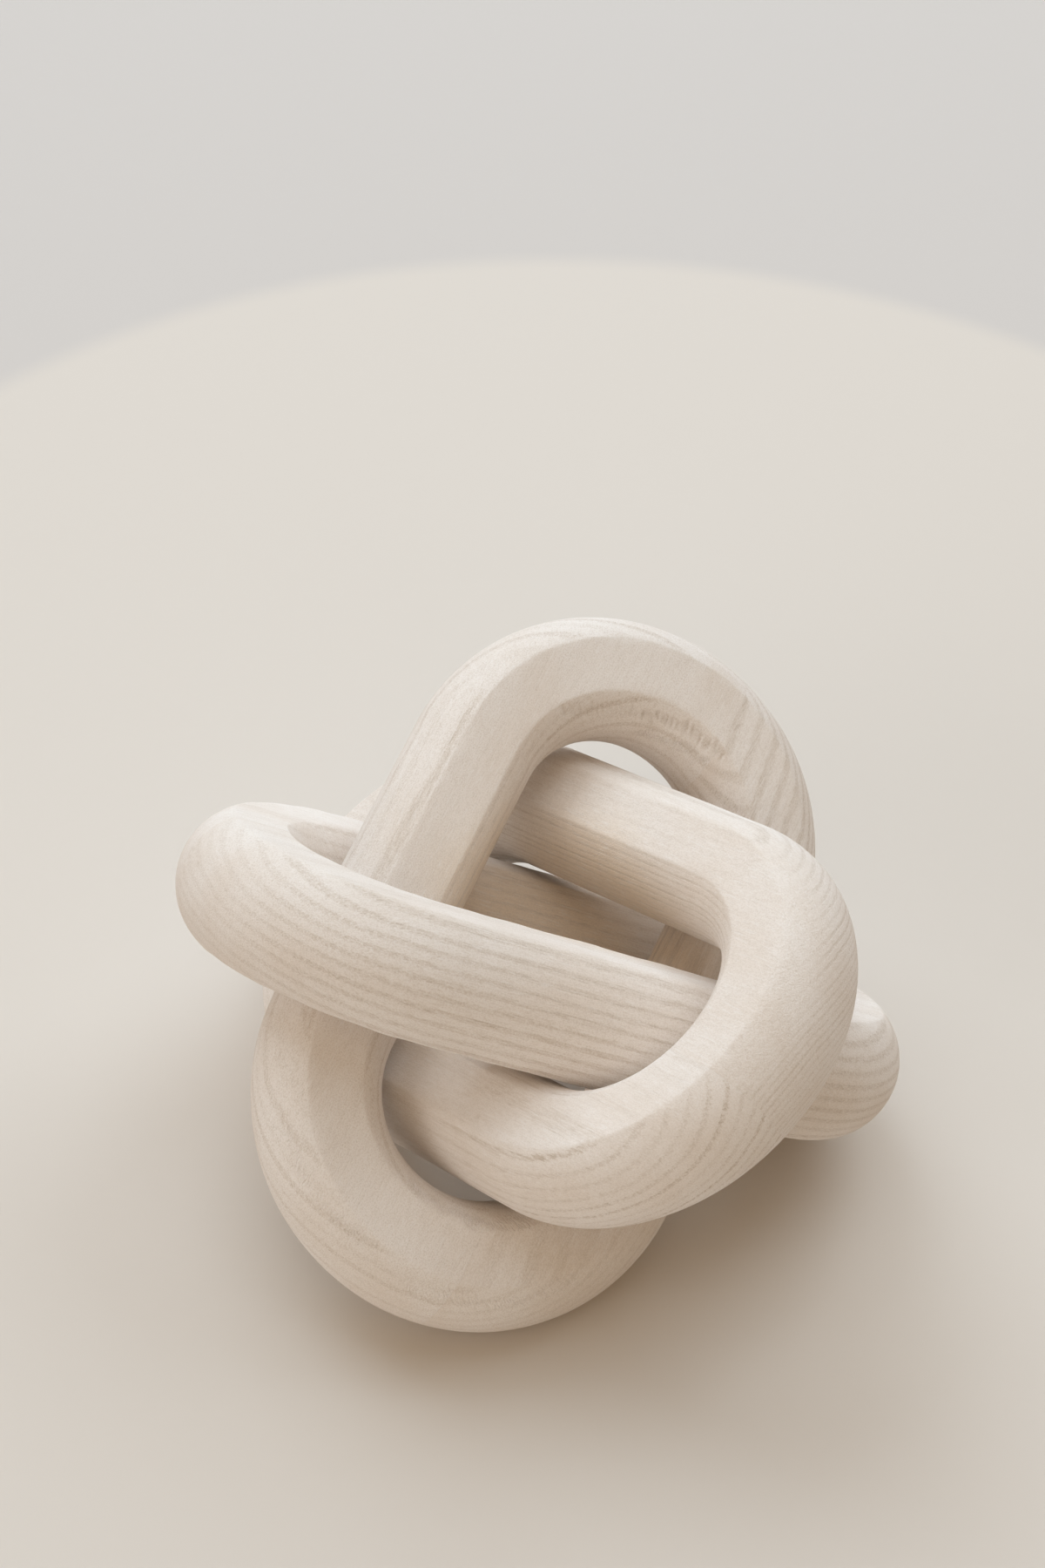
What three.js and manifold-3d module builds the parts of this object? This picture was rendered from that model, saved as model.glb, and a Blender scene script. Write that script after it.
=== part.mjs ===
// A knot sculpture: three equal wooden rings, each with a long slot, linked so that no two of them are
// joined and yet none can leave. The rings lean on each other and stand on three of their round ends.
// Units are millimetres, +Z is up, and the origin lies on the table under the middle of the knot.
import * as THREE from 'three';
import { mergeVertices } from 'three/addons/utils/BufferGeometryUtils.js';
import Module from 'manifold-3d';

// Sizes of one ring: a board cut to a round-ended outline with a round-ended slot. A round cutter has
// bull-nosed its inner and outer edges and left a flat band on both faces.
const boardThickness = 30;
const barBreadth = 30;
const slotWidth = 46;
const ringLength = 180;
const edgeRadius = 17.5;

// Each ring is glued up from two boards, so that a ring can be closed round the others. The seam runs along
// the grain through both ends of the ring. Its place is counted across the ring from the middle.
const frontSeamPlace = -2.7;
const rightSeamPlace = -8.3;
const tallSeamPlace = -12;
const glueLine = 0.3;

// How the rings stand: the gap where they lean on each other, and the flat sanded under each foot.
const restGap = 0.35;
const footFlatDepth = 0.4;

// Lie of each ring against the square knot, in which each ring is square to the two others. The lean turns
// the ring about its length, breadth and thickness, in degrees, and the shift moves it along them.
const lies = {
  front: { lean: [-11.1, 14.1, -4.0], shift: [0.2, 0.3, -0.3] },
  right: { lean: [-12.1, 15.0, 0.0], shift: [0.7, -0.2, -0.3] },
  tall: { lean: [-12.6, 14.0, -2.7], shift: [0.5, 0.5, -1.1] },
};

// Turn of the whole knot about the vertical, which brings its front to -Y.
const knotTurn = -163;

// Facets round a ring's end, round each edge of its bar, and along its bar in the clearance test.
const endSteps = 24;
const edgeSteps = 8;
const barTestSteps = 12;

// How closely the rings come to rest: the first and the last step of the search for their share of the full
// lean, and the passes that level their feet.
const firstShareStep = 0.25;
const lastShareStep = 1e-5;
const levellingPasses = 12;

const paleWood = { color: 0xe3d9cc, roughness: 0.72, metalness: 0 };

// Sizes that follow from those above
const halfThickness = boardThickness / 2;
const halfBreadth = barBreadth / 2;
const endRadius = (slotWidth + barBreadth) / 2;
const halfStraight = ringLength / 2 - halfBreadth - endRadius;
const edgeCentre = halfBreadth - edgeRadius;
const edgeAngle = Math.asin(halfThickness / edgeRadius);
const third = 2 * Math.PI / 3;

const wasm = await Module();
wasm.setup();

// Outline of the bar in (outwards, up) from the bar's centreline, counter-clockwise.
function barSection() {
  const section = new THREE.Shape();
  section.absarc(edgeCentre, 0, edgeRadius, -edgeAngle, edgeAngle);
  section.absarc(-edgeCentre, 0, edgeRadius, Math.PI - edgeAngle, Math.PI + edgeAngle);
  return section.getPoints(edgeSteps / 2);
}

// Stations round one end of the ring, +1 or -1 along its length. A station is the point about which the end
// turns and the angle at which the bar lies from there.
function endStations(side) {
  return Array.from({ length: endSteps + 1 }, (_, i) => ({
    x: side * halfStraight,
    angle: (1 - side) * Math.PI / 2 + Math.PI * (i / endSteps - 0.5),
  }));
}

// Stations between two others on one bar.
function barStations(from, to, steps) {
  return Array.from({ length: steps - 1 }, (_, i) => ({
    x: THREE.MathUtils.lerp(from.x, to.x, (i + 1) / steps),
    angle: from.angle,
  }));
}

function ringStations(barSteps) {
  const right = endStations(1);
  const left = endStations(-1);
  return [
    ...right, ...barStations(right[endSteps], left[0], barSteps),
    ...left, ...barStations(left[endSteps], right[0], barSteps),
  ];
}

// Points of the bar's outline at every station, in the ring's own frame: length, breadth, thickness.
function sweepPoints(stations, section) {
  return stations.flatMap(({ x, angle }) => section.map((point) => new THREE.Vector3(
    x + Math.cos(angle) * (endRadius + point.x),
    Math.sin(angle) * (endRadius + point.x),
    point.y,
  )));
}

// A whole ring: the skin over its stations, closed on itself.
function ringGeometry() {
  const stations = ringStations(1);
  const section = barSection();
  const sides = section.length;
  const faces = [];
  for (let i = 0; i < stations.length; i += 1) {
    const here = i * sides;
    const next = ((i + 1) % stations.length) * sides;
    for (let j = 0; j < sides; j += 1) {
      const k = (j + 1) % sides;
      faces.push(here + j, next + j, next + k, here + j, next + k, here + k);
    }
  }
  const geometry = new THREE.BufferGeometry().setFromPoints(sweepPoints(stations, section));
  geometry.setIndex(faces);
  return geometry;
}

function toSolid(geometry) {
  const bare = geometry.clone();
  bare.deleteAttribute('normal');
  bare.deleteAttribute('uv');
  const merged = mergeVertices(bare);
  return new wasm.Manifold(new wasm.Mesh({
    numProp: 3,
    vertProperties: merged.getAttribute('position').array,
    triVerts: new Uint32Array(merged.getIndex().array),
  }));
}

function toGeometry(solid) {
  const mesh = solid.getMesh();
  const geometry = new THREE.BufferGeometry();
  geometry.setAttribute('position', new THREE.BufferAttribute(mesh.vertProperties, 3));
  geometry.setIndex(new THREE.BufferAttribute(mesh.triVerts, 1));
  geometry.computeVertexNormals();
  return geometry;
}

function subtract(geometry, cutters) {
  return toGeometry(cutters.reduce((solid, cutter) => solid.subtract(toSolid(cutter)), toSolid(geometry)));
}

// Distance from a point in a ring's own frame to the ring's surface, negative inside the wood.
function ringDistance(point) {
  const past = Math.max(Math.abs(point.x) - halfStraight, 0);
  const out = Math.hypot(past, point.y) - endRadius;
  return Math.max(
    Math.abs(point.z) - halfThickness,
    Math.hypot(out - edgeCentre, point.z) - edgeRadius,
    Math.hypot(out + edgeCentre, point.z) - edgeRadius,
  );
}

// Place of one ring when it has a share of its full lie. The knot's own axes stand corner down, and the
// three rings follow each other round the vertical by thirds of a turn.
function ringMatrix(lie, turns, share) {
  const corner = new THREE.Quaternion().setFromUnitVectors(
    new THREE.Vector3(1, 1, 1).normalize(), new THREE.Vector3(0, 0, 1),
  );
  const lean = lie.lean.map((angle) => THREE.MathUtils.degToRad(angle) * share);
  const shift = lie.shift.map((distance) => distance * share);
  return new THREE.Matrix4().makeRotationZ(turns * third)
    .multiply(new THREE.Matrix4().makeRotationFromQuaternion(corner))
    .multiply(new THREE.Matrix4().makeTranslation(...shift))
    .multiply(new THREE.Matrix4().makeRotationFromEuler(new THREE.Euler(...lean)));
}

function knotMatrices(share) {
  return [lies.front, lies.right, lies.tall].map((lie, turns) => ringMatrix(lie, turns, share));
}

// Least gap between any two rings.
function leastGap(matrices, points) {
  let least = Infinity;
  const local = new THREE.Vector3();
  for (const ring of matrices) {
    for (const other of matrices.filter((matrix) => matrix !== ring)) {
      const toOther = other.clone().invert().multiply(ring);
      for (const point of points) {
        least = Math.min(least, ringDistance(local.copy(point).applyMatrix4(toOther)));
      }
    }
  }
  return least;
}

// The rings start square, where they are clear of each other, and lean until they rest on each other.
function restedMatrices() {
  const points = sweepPoints(ringStations(barTestSteps), barSection());
  let share = 0;
  for (let step = firstShareStep; step > lastShareStep; step /= 2) {
    while (leastGap(knotMatrices(share + step), points) > restGap) {
      share += step;
    }
  }
  return knotMatrices(share);
}

// Turn that brings the lowest points of the three rings to one height.
function levellingTurn(matrices) {
  const points = sweepPoints(ringStations(1), barSection());
  const turn = new THREE.Matrix4();
  const up = new THREE.Vector3(0, 0, 1);
  for (let pass = 0; pass < levellingPasses; pass += 1) {
    const feet = matrices.map((matrix) => {
      const placed = turn.clone().multiply(matrix);
      const world = points.map((point) => point.clone().applyMatrix4(placed));
      return world.reduce((low, point) => (point.z < low.z ? point : low));
    });
    const plane = new THREE.Plane().setFromCoplanarPoints(...feet);
    const level = new THREE.Quaternion().setFromUnitVectors(plane.normal, up);
    turn.premultiply(new THREE.Matrix4().makeRotationFromQuaternion(level));
  }
  return turn;
}

// A block that reaches from below the knot up to the given height, in a ring's own frame.
function sandingBlock(height, matrix) {
  const size = 2 * ringLength;
  const block = new THREE.BoxGeometry(size, size, size).translate(0, 0, height - size / 2);
  return block.applyMatrix4(matrix.clone().invert());
}

// A block over what lies on one side of a glue seam, -1 or +1 across the ring, and over half the glue line.
function seamBlock(place, side) {
  const size = 2 * ringLength;
  return new THREE.BoxGeometry(size, size, size).translate(0, place + side * (size - glueLine) / 2, 0);
}

function addMesh(group, name, geometry, matrix) {
  const mesh = new THREE.Mesh(geometry, new THREE.MeshStandardMaterial(paleWood));
  mesh.name = name;
  matrix.decompose(mesh.position, mesh.quaternion, mesh.scale);
  group.add(mesh);
}

function buildKnot() {
  const rested = restedMatrices();
  const toFront = new THREE.Matrix4().makeRotationZ(THREE.MathUtils.degToRad(knotTurn));
  const toLevel = toFront.multiply(levellingTurn(rested));
  const [front, right, tall] = rested.map((matrix) => matrix.premultiply(toLevel));

  const whole = ringGeometry();
  const lowest = new THREE.Box3().setFromBufferAttribute(
    whole.clone().applyMatrix4(front).getAttribute('position'),
  ).min.z;
  const table = lowest + footFlatDepth;

  const knot = new THREE.Group();
  for (const [ring, matrix, seam] of [
    ['front', front, frontSeamPlace], ['right', right, rightSeamPlace], ['tall', tall, tallSeamPlace],
  ]) {
    for (const [half, otherSide] of [['high', -1], ['low', 1]]) {
      const cutters = [sandingBlock(table, matrix), seamBlock(seam, otherSide)];
      addMesh(knot, `${ring}_ring_${half}`, subtract(whole, cutters), matrix);
    }
  }

  const middle = new THREE.Box3().setFromObject(knot, true).getCenter(new THREE.Vector3());
  knot.position.set(-middle.x, -middle.y, -table);
  return knot;
}

export default buildKnot();
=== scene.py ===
"""Knot ornament: three linked wooden rings, each glued up from two boards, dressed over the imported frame.

The rings are modelled in millimetres in a frame of their own. Its x runs along the ring, which is also the
way of the grain, y across it and z through its thickness. Each piece gets its place in the row frame last.
"""

import logging
import math
from dataclasses import dataclass
from enum import Enum

import bmesh
import bpy
import numpy as np
from mathutils import Matrix, Vector, noise

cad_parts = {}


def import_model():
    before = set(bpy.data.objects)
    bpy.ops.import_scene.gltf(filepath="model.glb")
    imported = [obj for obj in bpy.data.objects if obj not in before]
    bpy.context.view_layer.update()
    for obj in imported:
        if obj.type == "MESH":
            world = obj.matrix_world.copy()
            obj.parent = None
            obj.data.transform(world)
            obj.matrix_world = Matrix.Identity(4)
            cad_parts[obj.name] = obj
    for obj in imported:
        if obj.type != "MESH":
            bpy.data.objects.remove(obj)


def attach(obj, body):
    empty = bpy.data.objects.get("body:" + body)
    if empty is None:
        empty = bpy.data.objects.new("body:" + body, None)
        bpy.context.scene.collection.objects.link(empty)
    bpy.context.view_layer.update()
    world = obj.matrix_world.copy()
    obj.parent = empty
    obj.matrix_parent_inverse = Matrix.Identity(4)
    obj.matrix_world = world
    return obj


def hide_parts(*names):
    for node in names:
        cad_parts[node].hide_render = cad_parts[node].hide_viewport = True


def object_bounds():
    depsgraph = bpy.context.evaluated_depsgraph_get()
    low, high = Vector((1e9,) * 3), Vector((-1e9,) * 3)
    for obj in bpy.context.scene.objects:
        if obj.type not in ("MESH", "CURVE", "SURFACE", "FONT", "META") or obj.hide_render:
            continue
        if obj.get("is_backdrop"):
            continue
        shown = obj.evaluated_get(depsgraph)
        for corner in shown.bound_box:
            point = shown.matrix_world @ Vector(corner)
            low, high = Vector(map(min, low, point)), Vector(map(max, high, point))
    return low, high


log = logging.getLogger("knot")

MILLIMETRE = 0.001
MERGE_DISTANCE = 0.002
CUT_TOLERANCE = 1e-7
PLACE_ATTRIBUTE = "board_place"
SKIN_ATTRIBUTE = "skin_place"
# The attribute below holds how much the bottom of a cut or nick shows; the material darkens the wood there
# as painted shade.
PIT_SHADE_ATTRIBUTE = "wear"


def srgb(red: float, green: float, blue: float) -> tuple[float, float, float, float]:
    """Turns a colour as it is written, 0 to 255, into the linear colour that a shader takes.

    Args:
        red: The red part.
        green: The green part.
        blue: The blue part.

    Returns:
        The linear colour with full alpha.
    """
    linear = []
    for part in (red, green, blue):
        share = part / 255
        linear.append(share / 12.92 if share <= 0.04045 else ((share + 0.055) / 1.055) ** 2.4)
    return (*linear, 1.0)


# Node trees


@dataclass(frozen=True)
class Grain:
    """The grain of a noise.

    Attributes:
        size: How large a grain is along x, y and z, in millimetres.
        detail: How many finer layers lie on the first.
        shift: What keeps the noises of one board apart.
    """

    size: tuple[float, float, float]
    detail: float
    shift: float


class NodeSketch:
    """Wires shader nodes with few words.

    Attributes:
        SHIFT_WAY: Which way a seed moves a noise.
        material: The material.
        tree: Its node tree.
        shader: Its Principled shader.
    """

    SHIFT_WAY = (1, 1.7, 2.3)

    def __init__(self, name: str) -> None:
        """Starts a material whose output is fed by one Principled shader.

        Args:
            name: The material's name.
        """
        self.material = bpy.data.materials.new(name)
        self.material.use_nodes = True
        self.tree = self.material.node_tree
        self.shader = self.tree.nodes["Principled BSDF"]

    def link(self, source: bpy.types.NodeSocket, target: bpy.types.NodeSocket) -> None:
        """Feeds the target from the source."""
        self.tree.links.new(source, target)

    def feed(self, target: bpy.types.NodeSocket, value: object) -> None:
        """Feeds a socket from another one or gives it a fixed value.

        Args:
            target: The socket to feed.
            value: The other socket, or the fixed value.
        """
        if isinstance(value, bpy.types.NodeSocket):
            self.link(value, target)
        else:
            target.default_value = value

    def math(self, operation: str, *values: object, clamp: bool = False) -> bpy.types.NodeSocket:
        """Adds a Math node.

        Args:
            operation: The node's operation.
            values: Up to three sockets or numbers.
            clamp: Whether the result is kept between 0 and 1.

        Returns:
            The result's socket.
        """
        node = self.tree.nodes.new("ShaderNodeMath")
        node.operation = operation
        node.use_clamp = clamp
        for target, value in zip(node.inputs, values):
            self.feed(target, value)
        return node.outputs[0]

    def scaled(self, value: object, mask: object, at_none: float, at_full: float) -> bpy.types.NodeSocket:
        """Multiplies a value by one factor where a mask is 0 and by another where it is 1."""
        return self.math("MULTIPLY", value, self.math("MULTIPLY_ADD", mask, at_full - at_none, at_none))

    def step(self, value: object, low: float, high: float) -> bpy.types.NodeSocket:
        """Adds a smooth step.

        Args:
            value: The socket or number to look at.
            low: Where the step is 0.
            high: Where the step is 1, which may also lie below low.

        Returns:
            The step's socket.
        """
        node = self.tree.nodes.new("ShaderNodeMapRange")
        node.interpolation_type = "SMOOTHSTEP"
        self.feed(node.inputs["Value"], value)
        if high < low:
            low, high = high, low
            node.inputs["To Min"].default_value, node.inputs["To Max"].default_value = 1, 0
        node.inputs["From Min"].default_value = low
        node.inputs["From Max"].default_value = high
        return node.outputs["Result"]

    def vector_math(self, operation: str, first: object, second: object) -> bpy.types.NodeSocket:
        """Adds a Vector Math node.

        Args:
            operation: The node's operation.
            first: The first vector, as a socket or as numbers.
            second: The second vector. LENGTH takes no notice of it.

        Returns:
            The result's socket.
        """
        node = self.tree.nodes.new("ShaderNodeVectorMath")
        node.operation = operation
        self.feed(node.inputs[0], first)
        self.feed(node.inputs[1], second)
        return node.outputs["Value" if operation in ("LENGTH", "DOT_PRODUCT") else "Vector"]

    def split(self, vector: bpy.types.NodeSocket) -> bpy.types.bpy_prop_collection:
        """Adds a node that splits a vector.

        Args:
            vector: The vector.

        Returns:
            The sockets of its three parts.
        """
        node = self.tree.nodes.new("ShaderNodeSeparateXYZ")
        self.link(vector, node.inputs[0])
        return node.outputs

    def noise(self, vector: object, grain: Grain, seed: float) -> bpy.types.NodeSocket:
        """Adds a noise.

        Args:
            vector: The place, in millimetres.
            grain: The noise's grain.
            seed: What moves the pattern, so that two boards differ.

        Returns:
            The noise, about 0.5 in the middle.
        """
        shift = seed + grain.shift
        mapping = self.tree.nodes.new("ShaderNodeMapping")
        mapping.inputs["Scale"].default_value = [1 / size for size in grain.size]
        mapping.inputs["Location"].default_value = [part * shift for part in self.SHIFT_WAY]
        self.feed(mapping.inputs["Vector"], vector)
        node = self.tree.nodes.new("ShaderNodeTexNoise")
        node.inputs["Scale"].default_value = 1
        node.inputs["Detail"].default_value = grain.detail
        self.link(mapping.outputs["Vector"], node.inputs["Vector"])
        return node.outputs["Fac"]

    def mix(self, share: object, first: object, second: object) -> bpy.types.NodeSocket:
        """Adds a mix of two colours.

        Args:
            share: How much of the second colour is in the mix, from 0 to 1.
            first: The first colour.
            second: The second colour.

        Returns:
            The mixed colour's socket.
        """
        node = self.tree.nodes.new("ShaderNodeMix")
        node.data_type = "RGBA"
        self.feed(node.inputs["Factor"], share)
        # Inputs 6 and 7 and output 2 are the ones for colours.
        self.feed(node.inputs[6], first)
        self.feed(node.inputs[7], second)
        return node.outputs[2]

    def attribute(self, name: str) -> bpy.types.Node:
        """Adds a node that reads an attribute of the piece's own mesh.

        Args:
            name: The attribute's name.

        Returns:
            The node.
        """
        node = self.tree.nodes.new("ShaderNodeAttribute")
        node.attribute_type = "GEOMETRY"
        node.attribute_name = name
        return node


# Wood


@dataclass(frozen=True)
class Board:
    """How the tree's growth rings lie in one board, in millimetres of the ring's own frame.

    The growth rings are circles round the pith, which runs nearly along the grain, far outside the board.

    Attributes:
        pith_y: Where the pith lies across the ring, at the middle of its length.
        pith_z: Where the pith lies through the ring's thickness.
        spacing: How far two growth rings lie apart.
        phase: Which part of a year's growth lies at a whole number of spacings from the pith.
        porous_share: How much of a year's growth is porous early wood.
        contrast: How dark the porous lines are.
        seed: What makes the board's pattern its own.
        drift_y: How far the pith drifts across the ring for each millimetre along it.
        flat_share: How strong the lines are on the sanded flat faces.
        steadiness: How strong the weakest year's line is beside the strongest.
        lean_years: How much weaker every other year is.
        fade: Where the lines start to fade out and where they have faded, measured along fade_way.
        fade_way: The direction in which the lines fade.
        faded_share: How strong faded lines are.
        streaky: How much the lines are broken into short streaks.
        groove: How deep the lines are brushed out.
        nap: How strong the raised nap is.
    """

    pith_y: float
    pith_z: float
    spacing: float
    phase: float
    porous_share: float
    contrast: float
    seed: float
    drift_y: float = 0
    flat_share: float = 0.45
    steadiness: float = 0.5
    lean_years: float = 0
    fade: tuple[float, float] = (200, 240)
    fade_way: tuple[float, float, float] = (1, 0, 0)
    faded_share: float = 0.2
    streaky: float = 0.6
    groove: float = 0.6
    nap: float = 1.3


@dataclass(frozen=True)
class BleachedWood:
    """The finish of the whole knot: pale, ring-porous wood, bleached and sanded, with no gloss.

    Attributes:
        late_wood: The colour of smooth late wood, as written, 0 to 255, as all colours here.
        early_wood: The colour of porous early wood.
        warm_patch: The colour of the warmer patches.
        pore: The colour of open pores.
        chalk: The colour of the bleach left in the grain.
        crevice_shade: The warm brown painted as shade in the knot's hollows, where light bounces between the
            rings.
        pit: The colour of the painted shade at the bottom of cuts and nicks.
        wander: How unevenly the tree grew.
        streaks: The ragged edges of the porous lines.
        breaks: Where the porous lines are broken.
        fibres: The long fibres.
        pores: The pores.
        patches: The warmer patches.
        mottle: The mottle of the surface.
        nap: The raised nap of the surface.
        flecks: The flecks of bleach.
        cuts: The fine cuts across torn fibres.
        wander_reach: How far the uneven growth moves a line, in spacings.
        streak_reach: How far the ragged edges reach, in spacings.
        year_luck: How far apart the years' luck of two boards is drawn.
        line_start: How much of the early wood a line takes to reach its strength.
        line_end: How much of the early wood has passed when a line starts to fade.
        break_limits: Where a line is broken and where it is whole.
        flat_limits: How far from the middle of its thickness a flat face starts and where it is full.
        pore_limits: Where there is no pore and where a pore is open.
        patch_limits: Where there is no warm patch and where it is full.
        fleck_limits: Where there is no fleck and where it is full.
        cut_limits: Where there is no cut and where it is full.
        crevice_shade_limits: How far from the ring's middle the painted shade of the hollows is nil and
            where it is full.
        sanded_fibres: How strong the fibres are on the sanded flat faces.
        base_shade: How much of early_wood is in the colour everywhere.
        fibre_shade: How much of it the fibres add.
        mottle_shade: How much of it the mottle adds.
        pore_share: How dark the pores are everywhere.
        line_pore_share: How much darker they are in the porous lines.
        fleck_share: How strong the flecks are.
        crevice_shade_share: How strong the painted shade of the hollows is where it is full.
        cut_shade_share: How dark the painted shade in fine cuts is beside the marks of a tool.
        pit_shade_share: How dark the painted shade in the marks of a tool is.
        relief: How high a height of 1 stands, in metres.
        mottle_height: The height of the mottle.
        torn_height: How much higher it is where the fibres are torn.
        pore_height: The height of the pores.
        fibre_height: The height of the fibres.
        nap_height: The height of the nap.
        cut_height: The height of the fine cuts.
        roughness: How rough the wood is.
        fibre_roughness: How much rougher the fibres are.
        specular: The wood's specular level.
    """

    late_wood: tuple[int, int, int] = (243, 235, 228)
    early_wood: tuple[int, int, int] = (211, 196, 181)
    warm_patch: tuple[int, int, int] = (237, 226, 216)
    pore: tuple[int, int, int] = (172, 152, 132)
    chalk: tuple[int, int, int] = (248, 243, 239)
    crevice_shade: tuple[int, int, int] = (236, 211, 179)
    pit: tuple[int, int, int] = (186, 165, 140)

    wander: Grain = Grain((110, 22, 22), 1, 0)
    streaks: Grain = Grain((9, 0.4, 0.4), 2, 5)
    breaks: Grain = Grain((7, 0.6, 0.6), 2, 7)
    fibres: Grain = Grain((12, 0.3, 0.3), 2, 9)
    pores: Grain = Grain((3.5, 0.4, 0.4), 1, 13)
    patches: Grain = Grain((45, 18, 18), 2, 17)
    mottle: Grain = Grain((2.4, 1.3, 1.3), 3, 21)
    nap: Grain = Grain((0.4, 0.32, 0.32), 2, 27)
    flecks: Grain = Grain((4, 0.4, 0.4), 1, 31)
    cuts: Grain = Grain((0.55, 1.5, 40), 1, 35)

    wander_reach: float = 0.8
    streak_reach: float = 0.5
    year_luck: float = 31.3
    line_start: float = 0.25
    line_end: float = 0.6

    break_limits: tuple[float, float] = (0.38, 0.6)
    flat_limits: tuple[float, float] = (14.0, 14.7)
    pore_limits: tuple[float, float] = (0.55, 0.68)
    patch_limits: tuple[float, float] = (0.35, 0.7)
    fleck_limits: tuple[float, float] = (0.56, 0.7)
    cut_limits: tuple[float, float] = (0.45, 0.62)
    crevice_shade_limits: tuple[float, float] = (46, 26)

    sanded_fibres: float = 0.5
    base_shade: float = 0.12
    fibre_shade: float = 0.6
    mottle_shade: float = 0.36
    pore_share: float = 0.06
    line_pore_share: float = 0.4
    fleck_share: float = 0.3
    crevice_shade_share: float = 0.55
    cut_shade_share: float = 0.25
    pit_shade_share: float = 0.22

    relief: float = 0.00004
    mottle_height: float = 0.6
    torn_height: float = 3.5
    pore_height: float = -0.8
    fibre_height: float = 0.5
    nap_height: float = 1.8
    cut_height: float = -4
    roughness: float = 0.76
    fibre_roughness: float = 0.25
    specular: float = 0.25

    def porous_lines(self, sketch: NodeSketch, board: Board, place: bpy.types.NodeSocket,
                     sanded: bpy.types.NodeSocket) -> bpy.types.NodeSocket:
        """Draws the dark lines of porous wood with which each year's growth starts.

        Args:
            sketch: The material.
            board: How the growth rings lie in the board.
            place: The place in the ring's own frame.
            sanded: The mask of the flat faces, which were sanded on a belt.

        Returns:
            How strong a line is at the place, 0 between the lines.
        """
        along, across, through = sketch.split(place)
        pith = sketch.math("MULTIPLY_ADD", along, board.drift_y, board.pith_y)
        side = sketch.math("SUBTRACT", across, pith)
        rise = sketch.math("SUBTRACT", through, board.pith_z)
        squares = sketch.math("MULTIPLY_ADD", side, side, sketch.math("MULTIPLY", rise, rise))
        radius = sketch.math("SQRT", squares)

        # The tree grew a little unevenly, and fibres leave the lines' edges ragged.
        ragged = self.streak_reach * board.streaky
        for grain, reach in ((self.wander, self.wander_reach), (self.streaks, ragged)):
            push = sketch.math("SUBTRACT", sketch.noise(place, grain, board.seed), 0.5)
            radius = sketch.math("MULTIPLY_ADD", push, reach * board.spacing, radius)
        count = sketch.math("MULTIPLY_ADD", radius, 1 / board.spacing, board.phase)
        year = sketch.math("FLOOR", count)
        season = sketch.math("FRACT", count)

        luck = sketch.tree.nodes.new("ShaderNodeTexWhiteNoise")
        luck.noise_dimensions = "1D"
        sketch.link(sketch.math("ADD", year, self.year_luck * board.seed), luck.inputs["W"])
        weakest = board.steadiness
        strength = sketch.math("MULTIPLY_ADD", luck.outputs["Value"], 1 - weakest, weakest)
        strength = sketch.scaled(strength, sketch.math("PINGPONG", year, 1), 1 - board.lean_years, 1)
        rising = sketch.step(season, 0, self.line_start * board.porous_share)
        falling = sketch.step(season, board.porous_share, self.line_end * board.porous_share)
        early = sketch.math("MULTIPLY", sketch.math("MULTIPLY", rising, falling), strength)

        # The lines are made of short streaks, and are fainter on the flat faces and where they fade out.
        early = sketch.scaled(early, sanded, 1, board.flat_share)
        faded = sketch.step(sketch.vector_math("DOT_PRODUCT", place, board.fade_way), *board.fade)
        early = sketch.scaled(early, faded, 1, board.faded_share)
        broken = sketch.step(sketch.noise(place, self.breaks, board.seed), *self.break_limits)
        return sketch.scaled(early, broken, 1 - board.streaky, 1)

    def material(self, name: str, board: Board) -> bpy.types.Material:
        """Makes the wood of one board.

        Args:
            name: The material's name.
            board: How the growth rings lie in the board.

        Returns:
            The material.
        """
        sketch = NodeSketch(name)
        place = sketch.attribute(PLACE_ATTRIBUTE).outputs["Vector"]
        skin = sketch.attribute(SKIN_ATTRIBUTE).outputs["Vector"]
        # How much the bottom of a cut or nick shows, which gets painted shade.
        wear = sketch.attribute(PIT_SHADE_ATTRIBUTE).outputs["Fac"]
        torn = sketch.split(skin)[2]
        sanded = sketch.step(sketch.math("ABSOLUTE", sketch.split(place)[2]), *self.flat_limits)
        early = self.porous_lines(sketch, board, place, sanded)

        fibre = sketch.math("SUBTRACT", sketch.noise(place, self.fibres, board.seed), 0.5)
        fibre = sketch.scaled(fibre, sanded, 1, self.sanded_fibres)
        mottle = sketch.noise(place, self.mottle, board.seed)
        nap = sketch.noise(place, self.nap, board.seed)
        pores = sketch.step(sketch.noise(place, self.pores, board.seed), *self.pore_limits)
        lines = self.line_pore_share * board.contrast
        dots = sketch.math("MULTIPLY", pores, sketch.math("MULTIPLY_ADD", early, lines, self.pore_share))
        cuts = sketch.step(sketch.noise(skin, self.cuts, board.seed), *self.cut_limits)
        cuts = sketch.math("MULTIPLY", cuts, sketch.math("MULTIPLY", torn, torn))
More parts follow.
